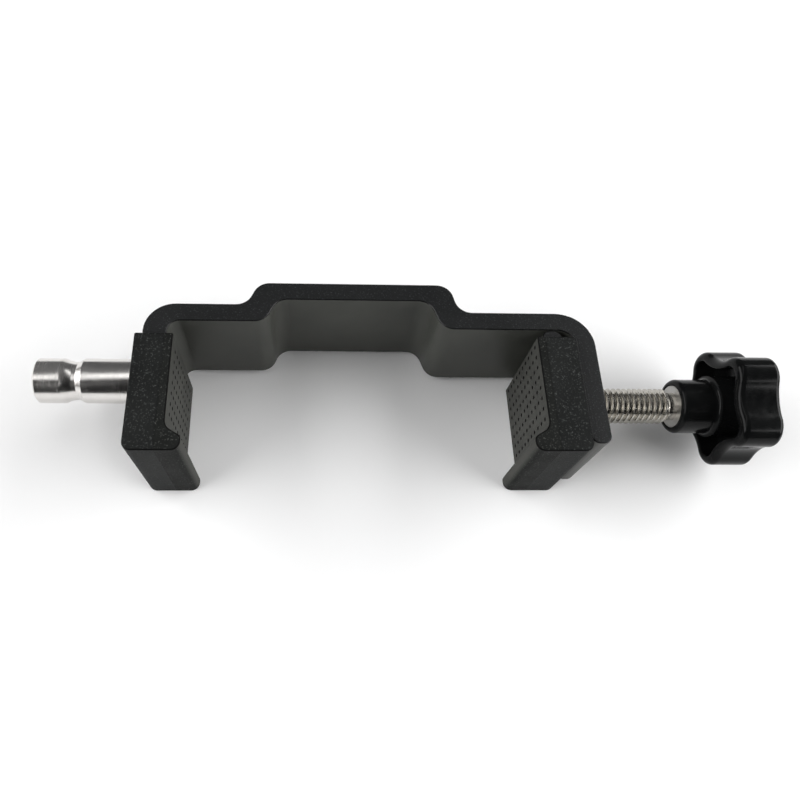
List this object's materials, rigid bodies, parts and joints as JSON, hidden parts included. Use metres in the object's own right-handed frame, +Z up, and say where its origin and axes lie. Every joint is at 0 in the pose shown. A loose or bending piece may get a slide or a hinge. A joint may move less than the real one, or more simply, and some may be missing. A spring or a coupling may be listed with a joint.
{
  "type": "fixed-width super clamp",
  "caption": "C-shaped studio clamp with a grooved spigot on one arm and a screw-driven, rubber-faced jaw turned by a star knob on the other.",
  "frame": {"origin": "on the stud's axis, where the stud meets the outer face of the fixed jaw", "axes": "+X from the stud towards the knob along the clamping direction, +Y from the jaws' mouth to the bridge, +Z up with the clamp lying on its side"},
  "size_m": [0.2588, 0.0641, 0.0428],
  "materials": {
    "black_aluminium": "satin black coat with a fine texture",
    "jaw_plastic": "fine moulded texture",
    "pad_rubber": "matt, dimpled",
    "stainless": "turned",
    "bush_steel": "machined",
    "bronze": "sintered",
    "black_bolt": "black oxide",
    "knob_plastic": "gloss"
  },
  "bodies": {
    "clamp_frame": {"frame": "black_aluminium", "fixed_jaw_cover": "jaw_plastic", "fixed_jaw_pad": "pad_rubber", "stud": "stainless", "stud_bolt": "black_bolt", "screw_bush": "bush_steel"},
    "moving_jaw": {"jaw_core": "black_aluminium", "moving_jaw_cover": "jaw_plastic", "moving_jaw_pad": "pad_rubber", "journal_bush": "bronze"},
    "screw": {"clamp_screw": "stainless", "thrust_washer": "bush_steel", "snap_ring_washer": "bush_steel", "snap_ring": "bush_steel", "knob_body": "knob_plastic", "knob_insert": "bush_steel", "knob_bolt": "black_bolt", "knob_cap": "knob_plastic"}
  },
  "joints": [
    {"name": "jaw_travel", "type": "slide", "parent": "clamp_frame", "child": "moving_jaw", "axis": [-1, 0, 0], "range_m": [0, 0.0293]},
    {"name": "screw_turn", "type": "hinge", "parent": "moving_jaw", "child": "screw", "pos_m": [0.17, -0.00875, 0], "axis": [-1, 0, 0], "range_deg": [0, 5400]}
  ],
  "couplings": [
    {"joint": "screw_turn", "follows": "jaw_travel", "rad_per_m": 3215.8}
  ]
}
